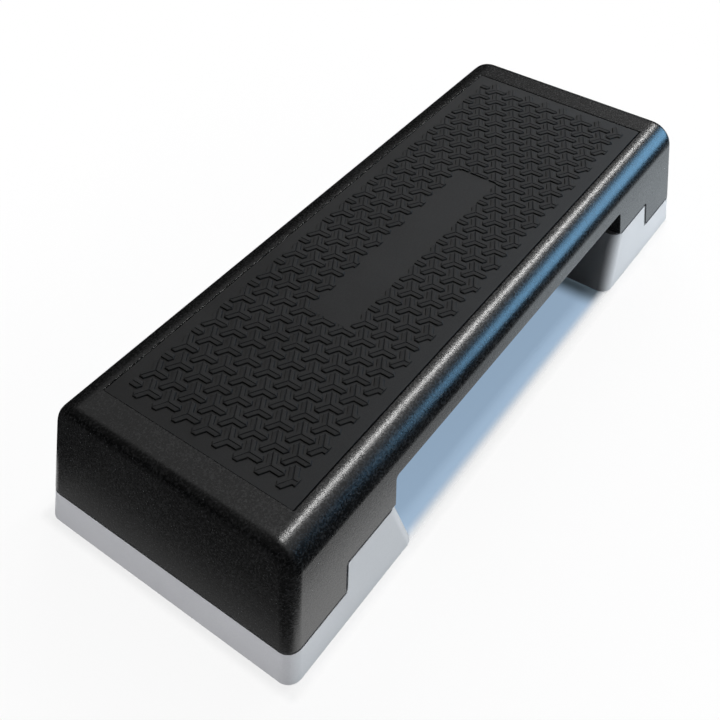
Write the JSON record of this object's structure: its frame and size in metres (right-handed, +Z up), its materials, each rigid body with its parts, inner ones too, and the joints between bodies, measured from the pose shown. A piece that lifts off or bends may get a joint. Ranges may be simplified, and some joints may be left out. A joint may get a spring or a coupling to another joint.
{
  "type": "aerobic step platform",
  "caption": "Low exercise step: a tapered moulded deck with a rubber tread mat, standing on lift-off stepped risers at both ends that raise its height.",
  "frame": {"origin": "on the floor under the middle of the platform", "axes": "+X along the length, +Y across the width, +Z up"},
  "size_m": [0.78, 0.3, 0.15],
  "materials": {
    "deck_plastic": "black, fine-grained satin moulding",
    "mat_rubber": "dark grey matt rubber",
    "riser_plastic": "light grey, fine-grained satin moulding",
    "pad_rubber": "dark grey rubber"
  },
  "bodies": {
    "platform": {"deck": "deck_plastic", "tread_mat": "mat_rubber"},
    "right_riser": {"riser_right": "riser_plastic", "pad_right_1": "pad_rubber", "pad_right_2": "pad_rubber", "pad_right_3": "pad_rubber", "pad_right_4": "pad_rubber"},
    "left_riser": {"riser_left": "riser_plastic", "pad_left_1": "pad_rubber", "pad_left_2": "pad_rubber", "pad_left_3": "pad_rubber", "pad_left_4": "pad_rubber"}
  },
  "joints": [
    {"name": "right_riser_lift", "type": "slide", "parent": "platform", "child": "right_riser", "axis": [0, 0, -1], "range_m": [0, 0.06]},
    {"name": "left_riser_lift", "type": "slide", "parent": "platform", "child": "left_riser", "axis": [0, 0, -1], "range_m": [0, 0.06]}
  ]
}
